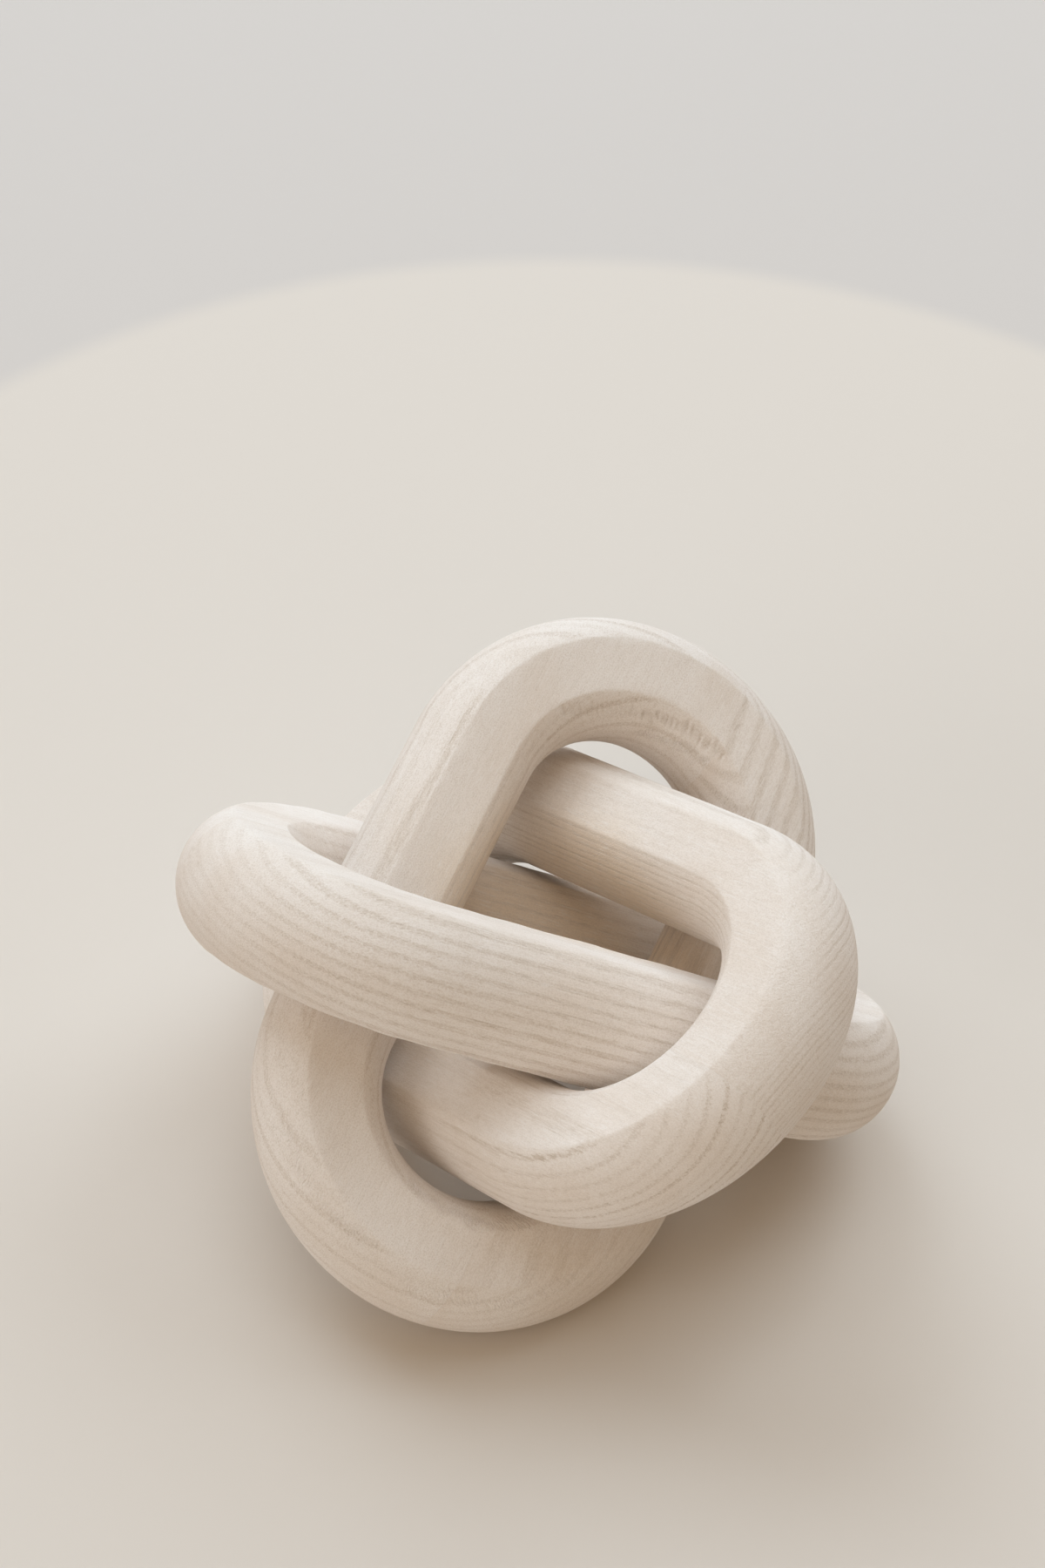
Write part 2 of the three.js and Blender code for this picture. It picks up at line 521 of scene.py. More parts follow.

        # Towards the ring's middle, inside the knot, a warm brown is painted as shade for the light that
        # bounces in the hollows. Porous lines, pores, chalky flecks and the painted shade of pits lie on it.
        patches = sketch.step(sketch.noise(place, self.patches, board.seed), *self.patch_limits)
        colour = sketch.mix(patches, srgb(*self.late_wood), srgb(*self.warm_patch))
        inside = sketch.step(sketch.vector_math("LENGTH", place, (0, 0, 0)), *self.crevice_shade_limits)
        colour = sketch.mix(sketch.math("MULTIPLY", inside, self.crevice_shade_share), colour, srgb(*self.crevice_shade))
        shade = sketch.math("MULTIPLY", early, board.contrast)
        shade = sketch.math("MULTIPLY_ADD", fibre, self.fibre_shade, shade)
        for layer, amount in ((mottle, self.mottle_shade), (nap, board.nap)):
            shade = sketch.math("MULTIPLY_ADD", sketch.math("SUBTRACT", layer, 0.5), amount, shade)
        shade = sketch.math("ADD", shade, self.base_shade, clamp=True)
        colour = sketch.mix(shade, colour, srgb(*self.early_wood))
        colour = sketch.mix(dots, colour, srgb(*self.pore))
        flecks = sketch.step(sketch.noise(place, self.flecks, board.seed), *self.fleck_limits)
        colour = sketch.mix(sketch.math("MULTIPLY", flecks, self.fleck_share), colour, srgb(*self.chalk))
        # The bottoms of cuts and nicks are darkened as painted shade.
        pits = sketch.math("MAXIMUM", wear, sketch.math("MULTIPLY", cuts, self.cut_shade_share))
        colour = sketch.mix(sketch.math("MULTIPLY", pits, self.pit_shade_share), colour, srgb(*self.pit))
        sketch.link(colour, sketch.shader.inputs["Base Color"])

        # The soft early wood is brushed away a little deeper, the pores are open and torn fibres stand up.
        height = sketch.math("MULTIPLY", early, -board.groove)
        ripple = sketch.math("MULTIPLY_ADD", torn, self.torn_height, self.mottle_height)
        height = sketch.math("MULTIPLY_ADD", mottle, ripple, height)
        for layer, amount in ((dots, self.pore_height), (fibre, self.fibre_height),
                              (nap, self.nap_height * board.nap), (cuts, self.cut_height)):
            height = sketch.math("MULTIPLY_ADD", layer, amount, height)
        bump = sketch.tree.nodes.new("ShaderNodeBump")
        bump.inputs["Strength"].default_value = 1
        bump.inputs["Distance"].default_value = self.relief
        sketch.link(height, bump.inputs["Height"])
        sketch.link(bump.outputs["Normal"], sketch.shader.inputs["Normal"])

        rough = sketch.math("MULTIPLY_ADD", fibre, self.fibre_roughness, self.roughness)
        sketch.link(rough, sketch.shader.inputs["Roughness"])
        sketch.shader.inputs["Specular IOR Level"].default_value = self.specular
        return sketch.material


# The shape of a ring


@dataclass(frozen=True)
class RingShape:
    """The shape that all three rings share, in millimetres.

    The section has two flat faces and two round ones, and the four corners between them are worn soft.

    Attributes:
        half_straight: Half the length of a straight bar.
        bend_radius: From the middle of a bend to the middle of the bar in it.
        face_radius: The radius of the round faces.
        face_shift: How far a round face's centre lies beyond the middle of the bar.
        flat_height: Half the thickness.
        corner_radius: The radius of the worn corners.
        skin: How far the smooth ring lies inside the solids' faces.
        corners: Where the corners lie round the unrolled section.
        face_steps: The steps of half a round face.
        corner_steps: The steps of a corner.
        flat_steps: The steps of half a flat face.
        bend_steps: The steps of a quarter turn of the ring.
        straight_steps: The steps of half a bar.
    """

    half_straight: float = 37
    bend_radius: float = 38
    face_radius: float = 17.5
    face_shift: float = 2.5
    flat_height: float = 15
    corner_radius: float = 1.6
    skin: float = 0.14
    corners: tuple[float, ...] = (0, 36, 49, 85, 98)
    face_steps: int = 34
    corner_steps: int = 5
    flat_steps: int = 12
    bend_steps: int = 115
    straight_steps: int = 74

    def section(self, bm: bmesh.types.BMesh) -> None:
        """Draws the closed section where the upper bar meets the bend.

        Args:
            bm: The mesh to draw in.
        """
        place = self.half_straight
        face = self.face_radius - self.skin
        flat = self.flat_height - self.skin
        corner_rise = flat - self.corner_radius
        reach = math.sqrt((face - self.corner_radius) ** 2 - corner_rise ** 2)
        face_angle = math.atan2(corner_rise, reach)
        middle = self.bend_radius
        tip = bm.verts.new((place, middle - self.face_shift + face, 0))
        turns = (
            (Vector((place, middle - self.face_shift, 0)), face_angle, self.face_steps),
            (Vector((place, middle - self.face_shift + reach, corner_rise)), math.pi / 2 - face_angle,
             self.corner_steps),
        )
        for centre, angle, steps in turns:
            spun = bmesh.ops.spin(bm, geom=[tip], cent=centre, axis=(1, 0, 0), angle=angle, steps=steps,
                                  use_duplicate=False)
            tip = next(item for item in spun["geom_last"] if isinstance(item, bmesh.types.BMVert))
        step = (0, -(reach - self.face_shift) / self.flat_steps, 0)
        bmesh.ops.spin(bm, geom=[tip], cent=(0, 0, 0), axis=(1, 0, 0), dvec=step, angle=0,
                       steps=self.flat_steps, use_duplicate=False)
        for axis, matrix in (("Z", Matrix.Identity(4)), ("Y", Matrix.Translation((0, -middle, 0)))):
            bmesh.ops.mirror(bm, geom=bm.verts[:] + bm.edges[:], matrix=matrix, merge_dist=MERGE_DISTANCE,
                             axis=axis)
        bmesh.ops.remove_doubles(bm, verts=bm.verts[:], dist=MERGE_DISTANCE)

    def whole(self) -> bmesh.types.BMesh:
        """Sweeps the section round the whole ring.

        Returns:
            The closed ring.
        """
        bm = bmesh.new()
        self.section(bm)
        start = bm.verts[:] + bm.edges[:]
        bmesh.ops.spin(bm, geom=start, cent=(self.half_straight, 0, 0), axis=(0, 0, -1), angle=math.pi / 2,
                       steps=self.bend_steps, use_duplicate=False)
        step = (-self.half_straight / self.straight_steps, 0, 0)
        bmesh.ops.spin(bm, geom=start, cent=(0, 0, 0), axis=(0, 0, 1), dvec=step, angle=0,
                       steps=self.straight_steps, use_duplicate=False)
        for axis in ("X", "Y"):
            bmesh.ops.mirror(bm, geom=bm.verts[:] + bm.edges[:] + bm.faces[:], matrix=Matrix.Identity(4),
                             merge_dist=MERGE_DISTANCE, axis=axis)
        bmesh.ops.recalc_face_normals(bm, faces=bm.faces[:])
        for face in bm.faces:
            face.smooth = True
        bm.normal_update()
        return bm

    def unrolled(self, places: np.ndarray) -> tuple[np.ndarray, np.ndarray]:
        """Finds where points of the skin lie on the ring's unrolled skin.

        Args:
            places: The points, one a row.

        Returns:
            The run round the ring from the middle of the upper bar, and the run round the section. The outer
            round face is 0 to 36 from its lower to its upper corner. Then come the upper flat face to 49,
            the inner round face to 85 and the lower flat face to 98.
        """
        x, y, z = places.T
        half_bar, bend = self.half_straight, math.pi * self.bend_radius
        over = np.maximum(np.abs(x) - half_bar, 0)
        in_bend = over > 0
        turn = self.bend_radius * np.arctan2(over, y)
        run = np.select(
            (in_bend & (x > 0), in_bend, y < 0, x < 0),
            (half_bar + turn, 3 * half_bar + 2 * bend - turn, 2 * half_bar + bend - x,
             4 * half_bar + 2 * bend + x),
            x,
        )
        outward = np.hypot(over, y) - self.bend_radius
        half_face = self.face_radius * math.asin(self.flat_height / self.face_radius)
        half_flat = math.sqrt(self.face_radius ** 2 - self.flat_height ** 2) - self.face_shift
        rise = self.face_radius * np.arcsin(np.clip(z / self.face_radius, -1, 1))
        on_flat = np.abs(outward) < half_flat
        girth = np.select(
            (on_flat & (z > 0), on_flat, outward > 0),
            (2 * half_face + half_flat - outward, 4 * half_face + 3 * half_flat + outward,
             half_face + rise),
            3 * half_face + 2 * half_flat - rise,
        )
        return run, girth


# The skin of a ring and the marks in it


def uneven(places: np.ndarray, size: float, shift: Vector) -> np.ndarray:
    """Gives a smooth noise at each point.

    Args:
        places: The points, one a row.
        size: How large the noise's patches are.
        shift: What moves the pattern.

    Returns:
        The noise at each point, from -1 to 1.
    """
    return np.array([noise.noise(Vector(place) / size + shift) for place in places])


@dataclass(frozen=True)
class Sanding:
    """What sanding by hand leaves: faint waves and worn corners, in millimetres.

    Attributes:
        wave_size: How large the waves are.
        wave_depth: How far the waves go up and down from their middle.
        wear_size: How large the patches of more and less wear are.
        wear_depth: How deep the most worn corner is.
        wear_share: How much of that a corner of middling wear has.
        wear_width: How far the wear reaches from a corner.
        shift: What moves a ring's noises. The first part is for each step of its seed.
    """

    wave_size: float = 19
    wave_depth: float = 0.09
    wear_size: float = 6
    wear_depth: float = 0.22
    wear_share: float = 0.35
    wear_width: float = 1.1
    shift: tuple[float, float, float] = (37, 11, 5)


class Skin:
    """The skin of one ring, point by point.

    Attributes:
        places: The points in the ring's own frame, one a row.
        run: Where they lie along the unrolled skin.
        girth: Where they lie round its section.
        shift: What moves the ring's noises.
        worn: A noise, high where there is more wear.
        depth: How deep the skin is dented, in millimetres.
        cut: How much the bottom of a cut shows, where the material paints shade.
        torn: How torn the fibres are.
    """

    def __init__(self, shape: RingShape, sanding: Sanding, places: np.ndarray, seed: int) -> None:
        """Unrolls the skin and sands it.

        Args:
            shape: The ring's shape.
            sanding: What sanding leaves.
            places: The points in the ring's own frame, one a row.
            seed: What makes the ring's skin its own.
        """
        first, *others = sanding.shift
        self.shift = Vector((first * seed, *others))
        self.places = places
        self.run, self.girth = shape.unrolled(places)
        self.worn = uneven(places, sanding.wear_size, -self.shift)
        waves = uneven(places, sanding.wave_size, self.shift)
        corner = np.min([np.abs(self.girth - edge) for edge in shape.corners], axis=0)
        wear = sanding.wear_depth * np.clip(sanding.wear_share + self.worn, 0, 1)
        self.depth = sanding.wave_depth * (waves + 1) + wear * np.exp(-(corner / sanding.wear_width) ** 2)
        self.cut = np.zeros(len(places))
        self.torn = np.zeros(len(places))


@dataclass(frozen=True)
class Stroke:
    """A straight stroke on the unrolled skin.

    Attributes:
        start: Where it starts.
        end: Where it ends.
    """

    start: tuple[float, float]
    end: tuple[float, float]

    def measure(self, skin: Skin) -> tuple[np.ndarray, np.ndarray, float]:
        """Measures the skin's points from the stroke.

        Args:
            skin: The skin.

        Returns:
            How far along the stroke and how far beside it the points lie, and the stroke's length.
        """
        run_way, girth_way = self.end[0] - self.start[0], self.end[1] - self.start[1]
        length = math.hypot(run_way, girth_way)
        run, girth = (skin.run - self.start[0]) / length, (skin.girth - self.start[1]) / length
        return run * run_way + girth * girth_way, girth * run_way - run * girth_way, length


@dataclass(frozen=True)
class Tear(Stroke):
    """A stroke of torn or puckered fibres with a ragged edge, in millimetres.

    Attributes:
        width: How wide the stroke is to each side.
        strength: How torn the fibres are.
        depth: How deep they are torn out.
        core: How strong the middle of the stroke is, where 1 is full.
        rag_size: How large the rags of its edge are.
        rag_share: How much the rags change the stroke.
        worn_share: How much the wear changes it.
        depth_share: How deep the fibres are torn where the rags are middling.
        rag_depth: How much the rags change that.
        end_margin: How far past its ends the stroke may reach.
        side_margin: How far to its sides it may reach, in widths.
    """

    width: float
    strength: float
    depth: float
    core: float = 1.6
    rag_size: float = 2.6
    rag_share: float = 1.5
    worn_share: float = 0.8
    depth_share: float = 0.6
    rag_depth: float = 0.8
    end_margin: float = 8
    side_margin: float = 2.5

    def mark(self, skin: Skin) -> None:
        """Tears the skin.

        Args:
            skin: The skin to mark.
        """
        forward, sideways, length = self.measure(skin)
        near = (forward > -self.end_margin) & (forward < length + self.end_margin)
        near &= np.abs(sideways) < self.side_margin * self.width
        ragged = uneven(skin.places[near], self.rag_size, -skin.shift)
        past = np.maximum(0, np.maximum(-forward[near], forward[near] - length))
        patch = self.core - self.core * np.hypot(sideways[near], past) / self.width
        patch = np.clip(patch + self.rag_share * ragged + self.worn_share * skin.worn[near], 0, 1)
        skin.torn[near] = np.maximum(skin.torn[near], self.strength * patch)
        skin.depth[near] += self.depth * patch * (self.depth_share + self.rag_depth * ragged)


@dataclass(frozen=True)
class Chatter(Stroke):
    """A row of small cuts where a moulding cutter jumped, in millimetres.

    Attributes:
        length: How long a cut is to each side of the row.
        depth: How deep the deepest cut is.
        seed: What the cuts' differences are drawn with.
        pitch: How far two cuts lie apart.
        width: How wide a cut is to each side.
        lean: How far a cut leans along the row for each millimetre across it.
        jitter: How far a cut may lie from its place along the row, in pitches.
        stray: How far the cuts stray across the row, in lengths.
        depths: How deep the shallowest and the deepest cut are, in depths.
        lengths: How long the shortest and the longest cut are, in lengths.
        lean_spread: How much the lean may differ.
        end_margin: How far past its ends the row may reach.
        side_margin: How far to its sides it may reach, in lengths.
    """

    length: float
    depth: float
    seed: int
    pitch: float = 1.7
    width: float = 0.44
    lean: float = 0.4
    jitter: float = 0.25
    stray: float = 0.3
    depths: tuple[float, float] = (0.3, 1)
    lengths: tuple[float, float] = (0.6, 1.2)
    lean_spread: float = 0.2
    end_margin: float = 3
    side_margin: float = 4

    def mark(self, skin: Skin) -> None:
        """Cuts the row into the skin.

        Args:
            skin: The skin to mark.
        """
        forward, sideways, row = self.measure(skin)
        near = (forward > -self.end_margin) & (forward < row + self.end_margin)
        near &= np.abs(sideways) < self.side_margin * self.length
        luck = np.random.default_rng(self.seed)
        for index in range(int(row / self.pitch)):
            middle = (index + 0.5 + luck.uniform(-self.jitter, self.jitter)) * self.pitch
            off = sideways[near] - luck.normal(0, self.stray) * self.length
            share = luck.uniform(*self.depths)
            long = self.length * luck.uniform(*self.lengths)
            lean = self.lean + luck.uniform(-self.lean_spread, self.lean_spread)
            ahead = forward[near] - middle - lean * off
            pit = share * np.exp(-(ahead / self.width) ** 2 - (off / long) ** 4)
            skin.depth[near] += self.depth * pit
            skin.cut[near] = np.maximum(skin.cut[near], pit)


@dataclass(frozen=True)
class Nick:
    """A single pit, in millimetres.

    Attributes:
        place: Where it lies on the unrolled skin.
        length: How long it is to each side.
        width: How wide it is to each side.
        depth: How deep it is.
    """

    place: tuple[float, float]
    length: float
    width: float
    depth: float

    def mark(self, skin: Skin) -> None:
        """Presses the pit into the skin.

        Args:
            skin: The skin to mark.
        """
        run, girth = self.place
        along, across = (skin.run - run) / self.length, (skin.girth - girth) / self.width
        pit = np.exp(-2 * along ** 2 - 2 * across ** 2)
        skin.depth += self.depth * pit
        skin.cut = np.maximum(skin.cut, pit)


# Rings


class Half(Enum):
    """Which side of the glue seam a board lies on; the value is the side's sign along y."""

    HIGH = 1
    LOW = -1


@dataclass
class Ring:
    """One ring of the knot, in millimetres.

    Attributes:
        name: The name of the ring and of its body.
        centre: Where its middle lies in the row frame.
        along: Which way its length runs there.
        normal: Which way its thickness runs there.
        seam: Where its glue seam lies, measured across it from its middle.
        boards: The boards on the two sides of the seam.
        seed: What makes the ring's skin its own.
        marks: The tears, then the rows of cuts, then the nicks in its skin.
        shape: The shape of the ring.
        sanding: What sanding leaves on it.
        cut_slant: How far fine cuts slant along the ring for each millimetre round its section.
        seam_gap: How wide the seam is.
        foot_lift: How high the flats lie on which the ring stands.
    """

    name: str
    centre: tuple[float, float, float]
    along: tuple[float, float, float]
    normal: tuple[float, float, float]
    seam: float
    boards: dict[Half, Board]
    seed: int
    marks: tuple[Tear | Chatter | Nick, ...]
    shape: RingShape = RingShape()
    sanding: Sanding = Sanding()
    cut_slant: float = 0.5
    seam_gap: float = 0.02
    foot_lift: float = 0.05

    def place(self) -> Matrix:
        """Works out where the ring lies.

        Returns:
            The move from the ring's own frame, in millimetres, to the row frame, in metres.
        """
        along, normal = Vector(self.along), Vector(self.normal)
        turn = Matrix((along, normal.cross(along), normal)).transposed().to_4x4()
        return Matrix.Scale(MILLIMETRE, 4) @ Matrix.Translation(self.centre) @ turn

    def dented(self, blank: bmesh.types.BMesh) -> bmesh.types.BMesh:
        """Sands and marks a copy of the smooth ring, and notes on each point what its material needs.

        Args:
            blank: The smooth ring, which is left as it is.

        Returns:
            The dented ring in its own frame.
        """
        bm = blank.copy()
        skin = Skin(self.shape, self.sanding, np.array([vert.co[:] for vert in bm.verts]), self.seed)
        for mark in self.marks:
            mark.mark(skin)
        place_layer = bm.verts.layers.float_vector.new(PLACE_ATTRIBUTE)
        skin_layer = bm.verts.layers.float_vector.new(SKIN_ATTRIBUTE)
        pit_shade_layer = bm.verts.layers.float.new(PIT_SHADE_ATTRIBUTE)
        spots = np.column_stack((skin.run - self.cut_slant * skin.girth, skin.girth, skin.torn))
        # The bottoms of cuts and nicks are noted for the material's painted shade.
        for vert, deep, pit_shade, spot in zip(bm.verts, skin.depth, skin.cut, spots):
            vert[place_layer] = vert.co
            vert[skin_layer] = spot
            vert[pit_shade_layer] = float(pit_shade)
            vert.co -= float(deep) * vert.normal
        return bm

    @staticmethod
    def cut_off(bm: bmesh.types.BMesh, point: Vector, beyond: Vector) -> None:
        """Cuts away what lies beyond a plane and closes the cut.

        Args:
            bm: The mesh to cut.
            point: A point on the plane.
            beyond: The direction of the waste.
        """
        cut = bmesh.ops.bisect_plane(bm, geom=bm.verts[:] + bm.edges[:] + bm.faces[:], dist=CUT_TOLERANCE,
                                     plane_co=point, plane_no=beyond, clear_outer=True)
        edges = [item for item in cut["geom_cut"] if isinstance(item, bmesh.types.BMEdge)]
        rim = [edge for edge in edges if edge.is_boundary]
        for cap in bmesh.ops.holes_fill(bm, edges=rim, sides=0)["faces"]:
            cap.smooth = False
        for edge in rim:
            edge.smooth = False

    def half(self, whole: bmesh.types.BMesh, half: Half) -> bpy.types.Object:
        """Cuts one board's half out of the dented ring.

        Args:
            whole: The dented ring in its own frame.
            half: Which half to keep.

        Returns:
            The piece, in its place in the row frame.
        """
        bm = whole.copy()
        edge = self.seam + half.value * self.seam_gap / 2
        self.cut_off(bm, Vector((0, edge, 0)), Vector((0, -half.value, 0)))
        bm.transform(self.place())
        self.cut_off(bm, Vector((0, 0, self.foot_lift * MILLIMETRE)), Vector((0, 0, -1)))
        name = f"{self.name}_{half.name.lower()}_board"
        mesh = bpy.data.meshes.new(name)
        bm.normal_update()
        bm.to_mesh(mesh)
        bm.free()
        piece = bpy.data.objects.new(name, mesh)
        bpy.context.scene.collection.objects.link(piece)
        return piece

    def build(self, blank: bmesh.types.BMesh, finish: BleachedWood) -> None:
        """Builds and dresses both halves of the ring.

        Args:
            blank: The smooth ring, which is left as it is.
            finish: The finish of the wood.
        """
        whole = self.dented(blank)
        for half, board in self.boards.items():
            piece = self.half(whole, half)
            piece.data.materials.append(finish.material(f"{piece.name}_wood", board))
            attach(piece, self.name)
            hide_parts(f"{self.name}_{half.name.lower()}")
            log.info("%s: %d faces", piece.name, len(piece.data.polygons))
        whole.free()


# Studio


@dataclass(frozen=True)
class PhotoCamera:
    """The photograph's camera, found by fitting the rings' outlines.

    Attributes:
        place: Where it stands, in metres.
        down: How far it looks down, in degrees.
        roll: How far it is rolled.
        swing: How far it is swung to the left.
        lens: Its focal length, in millimetres.
        sensor: The width of its sensor.
        clip: The nearest and the furthest that it sees, in metres.
    """

    place: tuple[float, float, float] = (-0.009549, -0.606087, 0.670767)
    down: float = 42.826
    roll: float = 4.644
    swing: float = -0.114
    lens: float = 85
    sensor: float = 36
    clip: tuple[float, float] = (0.01, 20)

    def build(self) -> None:
        """Makes the camera and gives it to the scene."""
        data = bpy.data.cameras.new("photo_camera")
        data.lens, data.sensor_width = self.lens, self.sensor
        data.clip_start, data.clip_end = self.clip
        camera = bpy.data.objects.new("photo_camera", data)
        turn = Matrix.Identity(4)
        for angle, axis in ((self.swing, "Z"), (90 - self.down, "X"), (self.roll, "Z")):
            turn = turn @ Matrix.Rotation(math.radians(angle), 4, axis)
        camera.matrix_world = Matrix.Translation(self.place) @ turn
        bpy.context.scene.collection.objects.link(camera)
        bpy.context.scene.camera = camera


@dataclass(frozen=True)
class Lamp:
    """A square soft lamp, aimed at the foot of the knot.

    Attributes:
        name: Its name.
        azimuth: Where it stands round the knot, in degrees from +X.
        elevation: How high it stands, in degrees.
        watts: Its power.
        distance: How far away it stands, in metres.
        size: The length of its side.
        colour: Its colour as written, 0 to 255.
    """

    name: str
    azimuth: float
    elevation: float
    watts: float
    distance: float = 4
    size: float = 2.6
    colour: tuple[int, int, int] = (224, 241, 255)

    def build(self) -> None:
        """Makes the lamp."""
        data = bpy.data.lights.new(self.name, "AREA")
        data.size, data.energy = self.size, self.watts
        data.color = srgb(*self.colour)[:3]
        lamp = bpy.data.objects.new(self.name, data)
        turn, rise = math.radians(self.azimuth), math.radians(self.elevation)
        flat = math.cos(rise)
        place = self.distance * Vector((math.cos(turn) * flat, math.sin(turn) * flat, math.sin(rise)))
        aim = (-place).to_track_quat("-Z", "Y").to_matrix().to_4x4()
        lamp.matrix_world = Matrix.Translation(place) @ aim
        bpy.context.scene.collection.objects.link(lamp)


def background_rays(tree: bpy.types.NodeTree) -> bpy.types.NodeSocket:
    """Adds nodes that tell the rays which show the background from those which light the object.

    Args:
        tree: The node tree of a material or of the world.

    Returns:
        A socket that is 1 for what the camera sees, itself or in gloss and glass.
    """
    path = tree.nodes.new("ShaderNodeLightPath")
    seen = path.outputs["Is Camera Ray"]
    for name in ("Is Glossy Ray", "Is Transmission Ray"):
        either = tree.nodes.new("ShaderNodeMath")
        either.operation = "MAXIMUM"
        tree.links.new(seen, either.inputs[0])
        tree.links.new(path.outputs[name], either.inputs[1])
        seen = either.outputs[0]
    return seen


@dataclass(frozen=True)
class Studio:
    """The plain pale tabletop, the pale surroundings and the soft light, in metres.

    Attributes:
        table_centre: Where the middle of the tabletop lies.
        table_width: How wide the tabletop is.
        table_depth: How deep it is from front to back.
        edge_softness: How soft its edge is, as a share of its size.
        table_colour: Its colour.
        surround_colour: The colour of the floor round it.
        floor_size: How large the floor is.
        floor_roughness: How rough it is.
        floor_specular: Its specular level.
        haze_start: How far from the knot the floor starts to melt into the background.
        haze_end: How far from the knot it has melted into it.
        distance_colour: The colour of the background.
        sky_colour: The colour of the sky's light.
        sky_level: The strength of that light.
        lamps: The lamps.
    """

    table_centre: tuple[float, float] = (0.0235, 0.0629)
    table_width: float = 0.548
    table_depth: float = 0.6
    edge_softness: float = 0.02
    table_colour: tuple[int, int, int] = (223, 215, 206)
    surround_colour: tuple[int, int, int] = (211, 205, 200)
    floor_size: float = 8
    floor_roughness: float = 0.6
    floor_specular: float = 0.2
    haze_start: float = 0.65
    haze_end: float = 1.3
    distance_colour: tuple[int, int, int] = (213, 208, 203)
    sky_colour: tuple[int, int, int] = (252, 214, 163)
    sky_level: float = 0.28
    lamps: tuple[Lamp, ...] = (
        Lamp("window_low", 90, 20, 45),
        Lamp("window_right", 45, 50, 45),
        Lamp("window_left", 135, 50, 66),
        Lamp("side_fill", 225, 20, 39, colour=(238, 241, 243)),
        Lamp("front_fill", 270, 50, 12, colour=(250, 240, 220)),
        Lamp("ceiling", 90, 88, 33),
    )

    def build(self) -> None:
        """Makes the floor, the lamps and the world."""
        self.floor()
        for lamp in self.lamps:
            lamp.build()
        self.sky()
        bpy.context.scene.view_settings.view_transform = "Standard"

    def floor(self) -> None:
        """Makes the floor, with the round tabletop painted on it."""
        bm = bmesh.new()
        bmesh.ops.create_grid(bm, x_segments=1, y_segments=1, size=self.floor_size / 2)
        mesh = bpy.data.meshes.new("floor")
        bm.to_mesh(mesh)
        bm.free()
        floor = bpy.data.objects.new("floor", mesh)
        bpy.context.scene.collection.objects.link(floor)
        sketch = NodeSketch("floor_paint")
        place = sketch.tree.nodes.new("ShaderNodeTexCoord").outputs["Object"]
        off = sketch.vector_math("SUBTRACT", place, (*self.table_centre, 0))
        shares = sketch.vector_math("DIVIDE", off, (self.table_width / 2, self.table_depth / 2, 1))
        away = sketch.vector_math("LENGTH", shares, (0, 0, 0))
        outside = sketch.step(away, 1 - self.edge_softness, 1 + self.edge_softness)
        colour = sketch.mix(outside, srgb(*self.table_colour), srgb(*self.surround_colour))
        sketch.link(colour, sketch.shader.inputs["Base Color"])
        sketch.shader.inputs["Roughness"].default_value = self.floor_roughness
        sketch.shader.inputs["Specular IOR Level"].default_value = self.floor_specular
        self.haze(sketch, place)
        mesh.materials.append(sketch.material)
        floor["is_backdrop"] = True

    def haze(self, sketch: NodeSketch, place: bpy.types.NodeSocket) -> None:
        """Lets the far floor melt into the pale background without lighting the object.

        Args:
            sketch: The floor's material.
            place: The place on the floor.
        """
        glow = sketch.tree.nodes.new("ShaderNodeEmission")
        glow.inputs["Color"].default_value = srgb(*self.distance_colour)
        far = sketch.step(sketch.vector_math("LENGTH", place, (0, 0, 0)), self.haze_start, self.haze_end)
        choice = sketch.tree.nodes.new("ShaderNodeMixShader")
        sketch.link(sketch.math("MULTIPLY", far, background_rays(sketch.tree)), choice.inputs["Fac"])
        sketch.link(sketch.shader.outputs["BSDF"], choice.inputs[1])
        sketch.link(glow.outputs["Emission"], choice.inputs[2])
        sketch.link(choice.outputs["Shader"], sketch.tree.nodes["Material Output"].inputs["Surface"])

    def sky(self) -> None:
        """Makes the sky, which gives a warm weak light and looks pale to the camera."""
        world = bpy.data.worlds.new("studio_sky")
        world.use_nodes = True
        nodes, links = world.node_tree.nodes, world.node_tree.links
        glow = nodes["Background"]
        glow.inputs["Color"].default_value = srgb(*self.sky_colour)
        glow.inputs["Strength"].default_value = self.sky_level
        seen = nodes.new("ShaderNodeBackground")
        seen.inputs["Color"].default_value = srgb(*self.distance_colour)
        choice = nodes.new("ShaderNodeMixShader")
        links.new(background_rays(world.node_tree), choice.inputs["Fac"])
        links.new(glow.outputs["Background"], choice.inputs[1])
        links.new(seen.outputs["Background"], choice.inputs[2])
        links.new(choice.outputs["Shader"], nodes["World Output"].inputs["Surface"])
        bpy.context.scene.world = world


# The knot


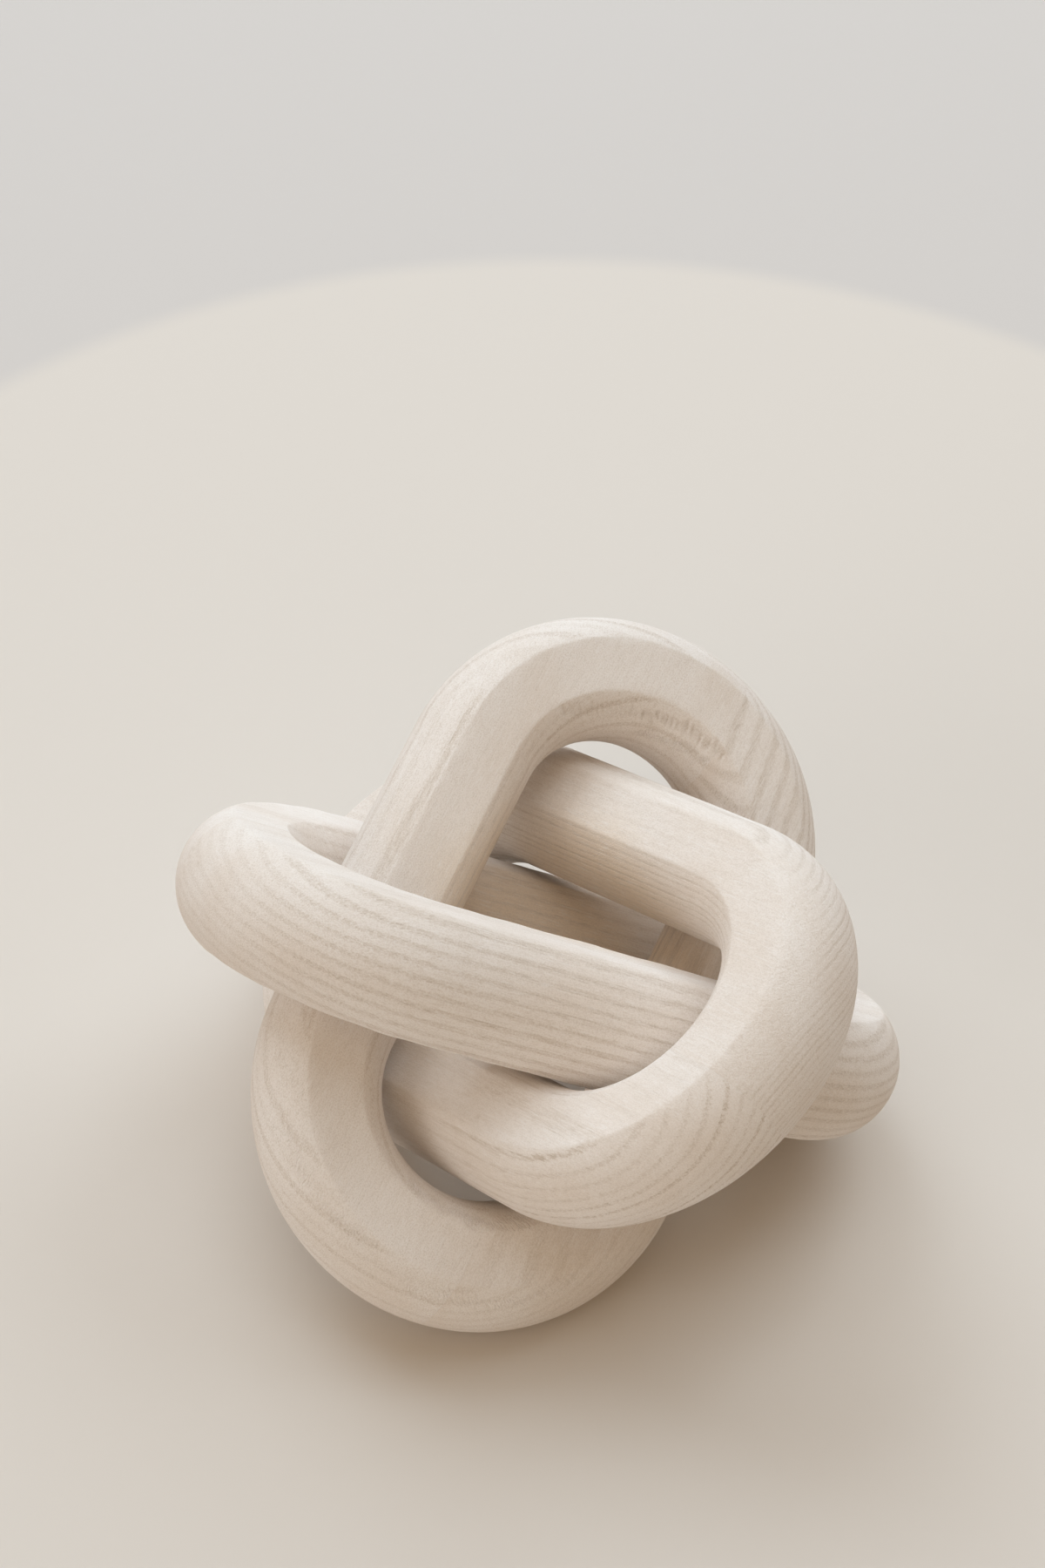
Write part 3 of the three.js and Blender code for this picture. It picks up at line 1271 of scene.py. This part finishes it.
def knot_rings() -> list[Ring]:
    """Lists the three rings.

    Returns:
        The rings with their places, boards and marks.
    """
    front = Ring(
        name="front_ring",
        centre=(0.000, -1.338, 51.884),
        along=(-0.92524, -0.10964, 0.36319),
        normal=(0.24747, 0.55119, 0.79684),
        seam=-2.7,
        boards={
            Half.HIGH: Board(
                pith_y=61, pith_z=153, spacing=3.0, phase=0.567, porous_share=0.6, contrast=0.5, seed=1,
                steadiness=0.7, fade=(66, 86), faded_share=0.4, streaky=0.5, nap=1.6,
            ),
            Half.LOW: Board(
                pith_y=-40, pith_z=90, spacing=3.2, phase=0.1, porous_share=0.5, contrast=0.42, seed=2,
                drift_y=0.02, fade=(66, 86),
            ),
        },
        seed=1,
        marks=(
            Nick((42.3, 22.6), length=0.9, width=0.45, depth=0.2),
            Nick((97.5, 23.2), length=1.2, width=0.5, depth=0.25),
        ),
    )
    right = Ring(
        name="right_ring",
        centre=(0.617, -1.528, 51.884),
        along=(0.60323, -0.70037, 0.38157),
        normal=(-0.58200, -0.05943, 0.81101),
        seam=-8.3,
        boards={
            Half.HIGH: Board(
                pith_y=-5, pith_z=-60, spacing=1.6, phase=0.63, porous_share=0.5, contrast=0.42, seed=3,
                flat_share=0.3, steadiness=0.4, fade=(31, 37), fade_way=(0.3, 0.11, 1), streaky=0.3,
                groove=1.3,
            ),
            Half.LOW: Board(
                pith_y=-45, pith_z=60, spacing=2.78, phase=0.43, porous_share=0.45, contrast=0.85, seed=4,
                steadiness=0.25, fade=(40, 5), faded_share=0.25, streaky=0.75, nap=1,
            ),
        },
        seed=2,
        marks=(
            Tear((58, 32), (96, 31), width=9, strength=0.4, depth=0.05),
            Nick((163, 39), length=0.9, width=0.8, depth=0.25),
        ),
    )
    tall = Ring(
        name="tall_ring",
        centre=(-0.542, 0.193, 51.711),
        along=(0.35445, 0.85764, 0.37259),
        normal=(0.33023, -0.48759, 0.80821),
        seam=-12,
        boards={
            Half.HIGH: Board(
                pith_y=-13, pith_z=-100, spacing=3.0, phase=0.55, porous_share=0.6, contrast=0.5, seed=5,
                flat_share=0.12, steadiness=0.7, lean_years=0.7, fade=(40, -40), faded_share=0.8,
                streaky=0.4, nap=1.8,
            ),
            Half.LOW: Board(
                pith_y=8, pith_z=78, spacing=2.75, phase=0.8, porous_share=0.6, contrast=0.5, seed=6,
                drift_y=0.13, flat_share=1, steadiness=0.7, fade=(10, -50), faded_share=0.45, streaky=0.25,
            ),
        },
        seed=3,
        marks=(
            Tear((60, 53), (85, 55), width=2, strength=0.5, depth=0.05),
            Tear((85, 55), (116, 50.8), width=1.8, strength=0.45, depth=0.03),
            Tear((88, 60.5), (112, 56.3), width=2.2, strength=0.8, depth=0.08),
            Tear((326, 28.5), (300, 33), width=2.6, strength=0.75, depth=0.08),
            Tear((324, 52.5), (300, 52.5), width=1.4, strength=0.6, depth=0.1),
            Tear((301, 52.5), (262, 50.5), width=3, strength=0.9, depth=0.1),
            Tear((288, 30.5), (258, 33.8), width=2.6, strength=0.7, depth=0.08),
            Chatter((57, 52.5), (85, 55.3), length=1.5, depth=0.4, seed=3),
            Chatter((85, 55.3), (116, 50.8), length=1.6, depth=0.65, seed=4),
            Nick((88.5, 60), length=0.6, width=0.9, depth=0.5),
        ),
    )
    return [front, right, tall]


def save_sizes(name: str, sizes: dict[str, list[list[float]]]) -> None:
    """Notes the shown object's box under a name.

    Args:
        name: What the box is of.
        sizes: The boxes noted so far.
    """
    sizes[name] = [list(corner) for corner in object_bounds()]


def main() -> None:
    """Builds the studio and the three rings."""
    logging.basicConfig(level=logging.INFO, format="%(name)s: %(message)s")
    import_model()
    sizes: dict[str, list[list[float]]] = {}
    save_sizes("cad", sizes)
    PhotoCamera().build()
    Studio().build()
    finish = BleachedWood()
    blank = RingShape().whole()
    for ring in knot_rings():
        ring.build(blank, finish)
    blank.free()
    save_sizes("visual", sizes)


if __name__ == "__main__":
    main()
